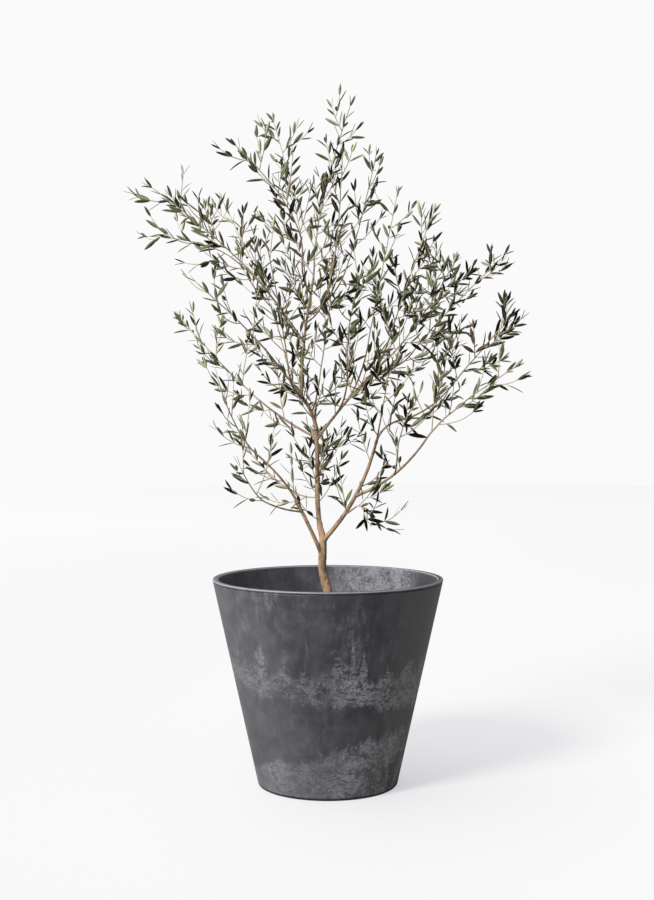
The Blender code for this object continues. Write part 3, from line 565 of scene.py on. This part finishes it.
def tubes(name, paths, roundness, *materials):
    """One object with a round tapering tube along every path."""
    curve = bpy.data.curves.new(name, "CURVE")
    curve.dimensions = "3D"
    curve.bevel_depth = 1.0
    curve.bevel_resolution = roundness
    curve.use_fill_caps = True
    for points, radii in paths:
        spline = curve.splines.new("POLY")
        spline.points.add(len(points) - 1)
        for knot, point, radius in zip(spline.points, points, radii):
            knot.co = (*point, 1)
            knot.radius = radius
    guide = bpy.data.objects.new(name + "_way", curve)
    bpy.context.scene.collection.objects.link(guide)
    mesh = bpy.data.meshes.new_from_object(guide.evaluated_get(bpy.context.evaluated_depsgraph_get()))
    bpy.data.objects.remove(guide)
    shape = bmesh.new()
    shape.from_mesh(mesh)
    bmesh.ops.remove_doubles(shape, verts=shape.verts, dist=0.00002)
    bmesh.ops.recalc_face_normals(shape, faces=shape.faces)
    piece = made(name, shape, *materials)
    piece.data.shade_smooth()
    return piece


trunk_length = sum((Vector(b[1:3]) - Vector(a[1:3])).length + b[0] - a[0]
                   for a, b in zip(TRUNK_STATIONS, TRUNK_STATIONS[1:]))
trunk_steps = round(trunk_length / TRUNK_STEP)
trunk_points = [smooth_way(TRUNK_STATIONS, k / trunk_steps) for k in range(trunk_steps + 1)]
paths = {"trunk": ([Vector((x, y, z)) for z, x, y, radius in trunk_points],
                   [radius for *place, radius in trunk_points])}
for bough in BOUGHS:
    paths[bough.name] = bough_path(bough, paths)

bark = Surface("young_bark")
fibres = bark.clouds(bark.place((1, 1, 0.12)), 700.0, 5.0, 0.65)
patches = bark.clouds(bark.place((1, 1, 0.5)), 75.0, 4.0, 0.6)
flecks = (bark.clouds(bark.place((1, 1, 0.55)), 300.0, 3.0) * 3.6 - 2.05).held()
skin = bark.blend((patches * 3.2 - 1.05).held(), BARK_DARK, BARK_LIGHT)
height = bark.node("ShaderNodeSeparateXYZ", {}, {0: bark.place()}, 2)
young = ((height - YOUNG_FROM) / YOUNG_OVER).held() * 0.85
skin = bark.blend(young, skin, bark.blend(patches, YOUNG_DARK, YOUNG_LIGHT))
skin = bark.blend((fibres * 1.8 - 0.60).held() * 0.6, skin, FIBRE_TAN)
skin = bark.blend(flecks * 0.7, skin, FLECK_BROWN)
knots = (bark.clouds(bark.place((1, 1, 0.7)), 130.0, 2.0) * 7.0 - 3.9).held()
skin = bark.blend(knots * 0.75, skin, KNOT_BROWN)
bark.dress(Base_Color=skin, Roughness=0.72 + 0.2 * fibres, Normal=bark.relief(fibres, 0.0006, 0.8))

trunk = tubes("bark_trunk", [paths["trunk"]], TRUNK_ROUND, bark.material)
dice = random.Random("scars")
scars = []
for number in range(SCAR_COUNT):
    spot, heading = along(paths["trunk"], dice.uniform(0.12, 1))
    turn = dice.uniform(0, math.tau)
    scars.append(spot + SCAR_OFF_AXIS * Vector((math.cos(turn), math.sin(turn), 0)))
foot_place = paths["trunk"][0][0]
for corner in trunk.data.vertices:
    spot = corner.co
    crack = noise.noise(Vector((spot.x * CRACK_GRAIN, spot.y * CRACK_GRAIN, spot.z * TRUNK_CRACK_LONG)))
    lump = noise.noise(spot * TRUNK_LUMP_GRAIN)
    scar = sum(math.exp(-((spot - other).length / SCAR_RADIUS) ** 2) for other in scars)
    root = math.exp(-max(spot.z - foot_place.z, 0) / ROOT_REACH)
    ribs = math.cos(3 * math.atan2(spot.y - foot_place.y, spot.x - foot_place.x) + 0.6)
    relief = CRACKS * crack + 0.5 * CRACKS * lump + SCARS * scar + ROOT_RIBS * root * ribs
    corner.co += corner.normal * relief
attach(trunk, "root")
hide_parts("trunk")

boughs = tubes("bark_boughs", [swollen(paths[bough.name]) for bough in BOUGHS], BOUGH_ROUND, bark.material)
knuckle = paths["left_low"][0][-1]
for corner in boughs.data.vertices:
    spot = corner.co
    crack = noise.noise(Vector((spot.x * CRACK_GRAIN, spot.y * CRACK_GRAIN, spot.z * BOUGH_CRACK_LONG)))
    lump = noise.noise(spot * BOUGH_LUMP_GRAIN)
    knot = math.exp(-((spot - knuckle).length / KNUCKLE_RADIUS) ** 2)
    corner.co += corner.normal * (0.3 * CRACKS * crack + 0.5 * CRACKS * lump + KNUCKLE * knot)
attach(boughs, "root")
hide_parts(*["bough_" + bough.name for bough in BOUGHS])


# The twigs: pale wiry shoots. Each mass of foliage has a stem that carries on from its bough's tip or
# leaves the trunk's side, with pairs of shoots that curve up to the light and in full masses fork again.
Mass = namedtuple("Mass", "name grows_from reach spread pairs fill")
MASSES = [
    Mass("left_outer", "left_outer", (-0.178, -0.134, 0.671), 0.056, 3, 0.0),
    Mass("left_foot", "left_foot", (-0.149, -0.100, 0.534), 0.050, 2, 0.0),
    Mass("left_inner", 0.64, (-0.180, 0.122, 0.584), 0.065, 3, 0.3),
    Mass("right_edge", "right_low", (0.294, -0.183, 0.680), 0.062, 4, 0.2),
    Mass("right_middle", "right_middle", (0.215, 0.134, 0.767), 0.070, 3, 0.6),
    Mass("right_inner", "right_inner", (0.097, -0.130, 0.689), 0.060, 2, 0.0),
    Mass("right_spur", "right_spur", (0.126, -0.200, 0.622), 0.050, 2, 0.05),
    Mass("low_right", "low_right", (0.092, -0.130, 0.420), 0.046, 2, 0.7),
    Mass("back_low", 0.74, (0.002, 0.170, 0.566), 0.065, 3, 0.65),
    Mass("left_middle", "left_middle", (-0.218, -0.122, 0.813), 0.062, 3, 0.3),
    Mass("upper_left", "upper_left", (-0.293, -0.073, 0.963), 0.068, 4, 0.55),
    Mass("far_left", "far_left", (-0.323, 0.061, 0.893), 0.058, 3, 0.15),
    Mass("top", "top", (0.041, 0.037, 1.118), 0.054, 4, 0.6),
    Mass("top_left", "top_left", (-0.150, -0.146, 1.019), 0.066, 4, 0.55),
    Mass("top_back", "top_back", (-0.099, 0.195, 1.123), 0.066, 4, 0.55),
    Mass("top_front", "top_front", (0.024, -0.183, 1.002), 0.062, 2, 0.0),
    Mass("top_right", "top_right", (0.087, 0.098, 1.048), 0.060, 3, 0.5),
    Mass("right_long", "right_long", (0.220, 0.037, 0.861), 0.068, 4, 1.0),
    Mass("right_front", "right_front", (0.157, -0.171, 0.900), 0.066, 3, 0.75),
    Mass("right_back", "right_back", (0.326, 0.220, 0.889), 0.066, 3, 0.65),
    Mass("right_outer", "right_outer", (0.302, -0.061, 0.766), 0.064, 3, 0.8),
    Mass("front_middle", "front_middle", (0.055, -0.207, 0.834), 0.068, 3, 0.6),
    Mass("left_long", "left_long", (-0.264, 0.110, 0.773), 0.062, 3, 0.65),
    Mass("back_middle", "back_middle", (0.018, 0.244, 0.892), 0.070, 3, 0.7),
    Mass("back_left", "back_left", (-0.193, 0.220, 0.988), 0.068, 4, 0.55),
    Mass("front_left", "front_left", (-0.095, -0.207, 0.874), 0.068, 2, 0.0),
    Mass("back_right", "back_right", (0.126, 0.220, 1.003), 0.068, 4, 0.25),
]
LEAF_LENGTH = 0.028
STEM_SWEEP = 0.35
FIRST_PAIR, LAST_PAIR, PAIR_STAGGER = 0.10, 0.85, 0.4
TURN = math.pi / 3
SHOOT_ANGLE = (math.radians(36), math.radians(60))
SHOOT_LIFT, SHOOT_TAPER = 0.8, 0.35
SHOOT_LENGTHS = (0.8, 1.1)
SHOOT_LONGER = 0.014
SIDE_STEM_RADIUS = 0.0012
STEM_THIN, SHOOT_THICK, SHOOT_THIN, TWIGLET_THICK, TWIGLET_THIN = 0.0008, 0.0009, 0.0006, 0.0007, 0.0005
STEM_BARE, SHOOT_BARE, TWIGLET_BARE = 0.20, 0.20, 0.25
TWIG_STEP, TWIG_WAVE = 0.006, 0.0011
TWIGLET_SHARES, TWIGLET_LENGTHS = (0.32, 0.60), (0.028, 0.045)
LIMB_SHOOTS = (0.22, 0.95)
LIMB_SHOOT_LENGTHS, LIMB_SHOOT_LIFT = (0.050, 0.090), 1.3
LIMB_TURN, LIMB_TURN_SPREAD = 2.4, 1.2
TRUNK_SHOOTS = (0.52, 0.61, 0.66, 0.70, 0.75, 0.80, 0.85, 0.90)
LIMB_FILL = 0.6
LIMB_CLEAR, PATH_CHECKS = 0.0010, 6
WAVE_GRAIN, WAVE_SEED, TWIG_ROUND = 34, 1, 1
TWIG_TAN = (0.300, 0.250, 0.178)


class Limbs:
    """Distances from a point to the trunk and boughs, kept as straight stretches with a radius."""

    def __init__(self, all_paths):
        rows = [(a, b, max(ra, rb)) for points, radii in all_paths
                for a, b, ra, rb in zip(points, points[1:], radii, radii[1:])]
        self.starts = np.array([row[0] for row in rows])
        self.runs = np.array([row[1] - row[0] for row in rows])
        self.radii = np.array([row[2] for row in rows])
        self.squares = (self.runs ** 2).sum(axis=1)

    def distances(self, point):
        offset = np.array(point) - self.starts
        share = np.clip((offset * self.runs).sum(axis=1) / self.squares, 0, 1)
        return np.linalg.norm(offset - share[:, None] * self.runs, axis=1)

    def clear_of(self, point):
        return bool((self.distances(point) > self.radii + LIMB_CLEAR).all())

    def near(self, point, spread):
        return bool(self.distances(point).min() < spread)


def side_directions(direction, straight=None):
    """Two directions square to a given one and to each other, turned alike along one straight line."""
    guide = Vector((0, 1, 0)) if abs((straight or direction).y) < 0.9 else Vector((1, 0, 0))
    first = direction.cross(guide).normalized()
    return first, direction.cross(first).normalized()


def sideways(path, heading, turn, angle):
    """A direction that leans off a heading, at a turn round the path's own straight line."""
    first, second = side_directions((path[0][-1] - path[0][0]).normalized())
    outward = math.cos(turn) * first + math.sin(turn) * second
    return (math.cos(angle) * heading + math.sin(angle) * outward).normalized()


def stem_path(mass):
    """A mass's main stem."""
    reach = Vector(mass.reach)
    if isinstance(mass.grows_from, str):
        start, heading = along(paths[mass.grows_from], 1)
        thick = paths[mass.grows_from][1][-1]
        start = start - OVERLAP * heading
    else:
        start, upwards = along(paths["trunk"], mass.grows_from)
        heading = reach - start
        heading = (heading - heading.dot(upwards) * upwards).normalized()
        thick = SIDE_STEM_RADIUS
    tip = reach - LEAF_LENGTH * (reach - start).normalized()
    middle = start + heading * STEM_SWEEP * (tip - start).length
    steps = round((tip - start).length / TWIG_STEP)
    return curve_path(start, middle, tip, thick, STEM_THIN, steps)


def shoot_path(parent, share, turn, angle, length, thick, thin, lift=SHOOT_LIFT):
    """A side shoot: it leaves its parent at an angle and curves up to the light."""
    start, heading = along(parent, share)
    direction = sideways(parent, heading, turn, angle)
    middle = start + direction * length / 2
    tip = middle + (direction + lift * UP).normalized() * length / 2
    return curve_path(start, middle, tip, thick, thin, max(round(length / TWIG_STEP), 3))


def wavy(path, seed):
    """The same twig with the small bends of real wood, none at its root."""
    points, radii = path
    offset = Vector((seed % 97, seed % 89, seed % 83))
    bent = []
    for number, point in enumerate(points):
        sway = noise.noise_vector(point * WAVE_GRAIN + offset) * TWIG_WAVE * min(number / 3, 1)
        bent.append(point + sway)
    return bent, radii


def checked_points(path):
    """Evenly spread points of a path, its root left out."""
    return [along(path, number / PATH_CHECKS)[0] for number in range(1, PATH_CHECKS + 1)]


def mass_twigs(mass, stem, limbs):
    """Every twig of one mass: (path, bare share, spray), the first being its stem."""
    own = Limbs([stem])
    twigs = [(stem, STEM_BARE, 0)]

    def fits(path):
        return all(own.near(point, mass.spread + SHOOT_LONGER) and limbs.clear_of(point)
                   for point in checked_points(path))

    for pair in range(mass.pairs):
        for side in (0, 1):
            dice = random.Random(f"{mass.name} shoot {pair} {side}")
            place = (pair + PAIR_STAGGER * side) / (mass.pairs - 1 + PAIR_STAGGER)
            share = FIRST_PAIR + (LAST_PAIR - FIRST_PAIR) * place
            angle = dice.uniform(*SHOOT_ANGLE)
            length = mass.spread * (1 - SHOOT_TAPER * share) * dice.uniform(*SHOOT_LENGTHS)
            length += SHOOT_LONGER * (1 - share)
            turn = TURN * pair + math.pi * side
            shoot = shoot_path(stem, share, turn, angle, length, SHOOT_THICK, SHOOT_THIN)
            spray = 2 * pair + side + 1
            if fits(shoot):
                twigs.append((shoot, SHOOT_BARE, spray))
                for part in TWIGLET_SHARES:
                    twiglet = shoot_path(shoot, part, dice.uniform(0, math.tau), dice.uniform(*SHOOT_ANGLE),
                                         dice.uniform(*TWIGLET_LENGTHS), TWIGLET_THICK, TWIGLET_THIN)
                    if dice.random() < 2 * mass.fill - 1 and fits(twiglet):
                        twigs.append((twiglet, TWIGLET_BARE, spray))
    return twigs


def limb_twigs(name, path, shares, limbs):
    """The slender upright shoots along a limb: (path, bare share, spray)."""
    twigs = []
    for number, share in enumerate(shares):
        dice = random.Random(f"{name} limb shoot {number}")
        turn = number * LIMB_TURN + dice.uniform(0, LIMB_TURN_SPREAD)
        shoot = shoot_path(path, share, turn, dice.uniform(*SHOOT_ANGLE), dice.uniform(*LIMB_SHOOT_LENGTHS),
                           SHOOT_THICK, SHOOT_THIN, LIMB_SHOOT_LIFT)
        if all(limbs.clear_of(point) for point in checked_points(shoot)):
            twigs.append((shoot, SHOOT_BARE, number))
    return twigs


limbs = Limbs(paths.values())
wood = Surface("twig_wood")
sheen = wood.clouds(wood.place(), 300.0, 3.0)
wood.dress(Base_Color=TWIG_TAN, Roughness=0.6 + 0.2 * sheen)
# Without a seed, noise_vector starts from the clock and the twigs bend in a new way on every run.
noise.seed_set(WAVE_SEED)
growth = {}
for mass in MASSES:
    twigs = mass_twigs(mass, stem_path(mass), limbs)
    growth[mass.name] = [(wavy(path, 7 * len(mass.name)), bare, spray) for path, bare, spray in twigs]
    piece = tubes("twigs_" + mass.name, [path for path, bare, spray in growth[mass.name]], TWIG_ROUND,
                  wood.material)
    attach(piece, "root")
    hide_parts("foliage_" + mass.name)
growth["limbs"] = limb_twigs("trunk", paths["trunk"], TRUNK_SHOOTS, limbs)
first, last = LIMB_SHOOTS
for bough in BOUGHS:
    shares = [first + (last - first) * (number + 0.5) / bough.shoots for number in range(bough.shoots)]
    growth["limbs"] += limb_twigs(bough.name, paths[bough.name], shares, limbs)
growth["limbs"] = [(wavy(path, 5 * number), bare, number)
                   for number, (path, bare, spray) in enumerate(growth["limbs"])]
piece = tubes("twigs_limbs", [path for path, bare, spray in growth["limbs"]], TWIG_ROUND, wood.material)
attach(piece, "root")


# The leaves: narrow and leathery, folded a little along the midrib, dark green above and silvery beneath,
# in opposite pairs each turned a quarter on from the last. Most leaves of a spray share one green, and
# the masses on the lit left are dealt paler greens and those in shade on the right darker ones: painted
# light and painted shade.
LEAF_WIDTH, LEAF_THICKNESS = 0.0059, 0.00035
LEAF_ROWS = [(0, 0.14), (0.08, 0.15), (0.20, 0.66), (0.36, 0.95),
             (0.56, 1.0), (0.76, 0.80), (0.92, 0.42), (1, 0.08)]
RIB_WIDTH, RIB_SHARE = 0.12, 0.8
LEAF_FOLD, LEAF_CURLS = 0.22, (-0.10, 0.04, 0.12)
PAIR_STEP, LEAF_ANGLE, LEAF_ROLL = (0.0134, 0.0190), (math.radians(24), math.radians(52)), 0.85
LEAF_SIZES, PAIR_WOBBLE, TIP_ANGLE = (0.80, 1.16), 0.25, (0.15, 0.4)
YOUNG_LEAF, LEAF_DROP, THIN_DROP = 0.72, 0.12, 0.50
LEAF_GLOSS, SPRAY_ALIKE = 0.07, 0.6
LEAF_CLEAR_POINTS = (0.3, 0.6, 1.0)
GREENS = {
    "dark": ((0.003, 0.005, 0.002), (0.085, 0.088, 0.050)),
    "olive": ((0.030, 0.038, 0.014), (0.200, 0.208, 0.125)),
    "grey": ((0.085, 0.098, 0.050), (0.310, 0.315, 0.210)),
    "young": ((0.115, 0.130, 0.055), (0.360, 0.355, 0.235)),
    "old": ((0.105, 0.066, 0.036), (0.230, 0.180, 0.115)),
    # Painted shade: a near-black green dealt mostly to the masses in shade on the right.
    "deep": ((0.002, 0.003, 0.001), (0.034, 0.036, 0.020)),
}
GREEN_SHARES = (0.44, 0.23, 0.13, 0.09, 0.03, 0.08)
# Painted light and shade: the masses in light are dealt paler greens, those in shade darker ones.
SUNNY = ("far_left", "upper_left", "left_outer", "left_middle", "left_long", "left_inner", "front_left")
SUNNY_SHARES = (0.25, 0.26, 0.27, 0.18, 0.04, 0.00)
SHADY = ("right_edge", "right_outer", "right_back", "right_spur", "right_inner", "low_right", "back_low")
SHADY_SHARES = (0.40, 0.12, 0.04, 0.02, 0.02, 0.40)
COMMON_GREENS, LEAF_PARTS = 3, 3


def leaf_shape(curl):
    """A closed leaf one unit long on +Y, its upper side towards +Z: slots 0 above, 1 beneath, 2 midrib."""
    leaf = bmesh.new()
    bmesh.ops.create_grid(leaf, x_segments=3, y_segments=len(LEAF_ROWS) - 1, size=0.5)
    bmesh.ops.translate(leaf, vec=(0, 0.5, 0), verts=leaf.verts)
    under = bmesh.ops.duplicate(leaf, geom=leaf.verts[:] + leaf.edges[:] + leaf.faces[:])["geom"]
    under_faces = [item for item in under if isinstance(item, bmesh.types.BMFace)]
    under_corners = {item for item in under if isinstance(item, bmesh.types.BMVert)}
    bmesh.ops.reverse_faces(leaf, faces=under_faces)
    for face in leaf.faces:
        face.material_index = 2 if abs(face.calc_center_median().x) < 0.1 else 0
    for face in under_faces:
        face.material_index = 1
    half = LEAF_WIDTH / LEAF_LENGTH / 2
    thick = LEAF_THICKNESS / LEAF_LENGTH
    for corner in leaf.verts:
        row = round(corner.co.y * (len(LEAF_ROWS) - 1))
        share, width = LEAF_ROWS[row]
        edge = abs(corner.co.x) > 0.4
        across = math.copysign(half * width if edge else min(RIB_WIDTH, width) * half, corner.co.x)
        ends = row in (0, len(LEAF_ROWS) - 1)
        lift = LEAF_FOLD * abs(across) - (thick if corner in under_corners and not edge and not ends else 0)
        corner.co = (across, share, lift - curl * share ** 2)
    bmesh.ops.remove_doubles(leaf, verts=leaf.verts, dist=0.0001)
    leaf.verts.index_update()
    return leaf


def leaf_frame(root, direction, facing, roll, size):
    """The place of a leaf that points along a direction with its upper side towards facing."""
    across = direction.cross(facing).normalized()
    upper = across.cross(direction).normalized()
    turn = Matrix((across, direction, upper)).transposed().to_4x4()
    grown = Matrix.Diagonal((size, size, size, 1))
    return Matrix.Translation(root) @ turn @ Matrix.Rotation(roll, 4, "Y") @ grown


def twig_leaves(name, path, bare, drop):
    """The places of one twig's leaves, of which a share has dropped."""
    dice = random.Random(f"{name} leaves")
    length = sum((b - a).length for a, b in zip(path[0], path[0][1:]))
    gone = bare * length
    turn = dice.uniform(0, math.tau)
    while gone < length:
        share = gone / length
        base, heading = along(path, share)
        for side in (0, 1):
            direction = sideways(path, heading, turn + math.pi * side, dice.uniform(*LEAF_ANGLE))
            size = LEAF_LENGTH * dice.uniform(*LEAF_SIZES) * (1 - (1 - YOUNG_LEAF) * max(share * 2 - 1, 0))
            roll = dice.uniform(-LEAF_ROLL, LEAF_ROLL)
            if dice.random() > drop:
                yield leaf_frame(base, direction, heading, roll, size)
        turn += math.pi / 2 + dice.uniform(-PAIR_WOBBLE, PAIR_WOBBLE)
        gone += dice.uniform(*PAIR_STEP)
    tip, heading = along(path, 1)
    for side in (0, 1):
        direction = sideways(path, heading, turn + math.pi * side, dice.uniform(*TIP_ANGLE))
        size = LEAF_LENGTH * YOUNG_LEAF * dice.uniform(*LEAF_SIZES)
        yield leaf_frame(tip, direction, heading, dice.uniform(-LEAF_ROLL, LEAF_ROLL), size)


leaf_surfaces = []
for name, (above, beneath) in GREENS.items():
    rib = tuple(RIB_SHARE * a + (1 - RIB_SHARE) * b for a, b in zip(above, beneath))
    for part, colour, roughness in (("top", above, 0.5), ("underside", beneath, 0.8), ("midrib", rib, 0.6)):
        leather = Surface(f"leaf_{part}_{name}")
        leather.shader.inputs["Specular IOR Level"].default_value = LEAF_GLOSS
        leaf_surfaces.append(leather.dress(Base_Color=colour, Roughness=roughness))
leaf_shapes = [leaf_shape(curl) for curl in LEAF_CURLS]
face_slots = np.array([face.material_index for face in leaf_shapes[0].faces])
fills = {mass.name: mass.fill for mass in MASSES} | {"limbs": LIMB_FILL}
for name, twigs in growth.items():
    drop = LEAF_DROP + THIN_DROP * (1 - fills[name])
    dice = random.Random(name + " greens")
    shares = SUNNY_SHARES if name in SUNNY else SHADY_SHARES if name in SHADY else GREEN_SHARES
    greens = dice.choices(range(len(GREENS)), shares, k=len(twigs) + 1)
    pieces = [[] for shape in leaf_shapes]
    slots = [[] for shape in leaf_shapes]
    for number, (path, bare, spray) in enumerate(twigs):
        for place in twig_leaves(f"{name} {number}", path, bare, drop):
            if all(limbs.clear_of(place @ Vector((0, share, 0))) for share in LEAF_CLEAR_POINTS):
                kind = dice.randrange(len(leaf_shapes))
                green = greens[spray]
                if dice.random() >= SPRAY_ALIKE:
                    green = dice.choices(range(COMMON_GREENS), shares[:COMMON_GREENS])[0]
                pieces[kind].append(place)
                slots[kind].append(face_slots + LEAF_PARTS * green)
    for kind, (small, places) in enumerate(zip(leaf_shapes, pieces)):
        piece = scattered(f"leaves_{name}_{kind}", small, places, *leaf_surfaces, slots=slots[kind])
        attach(piece, "root")

sizes = {"cad_box": [list(corner) for corner in cad_box], "visual_box": [list(corner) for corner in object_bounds()]}
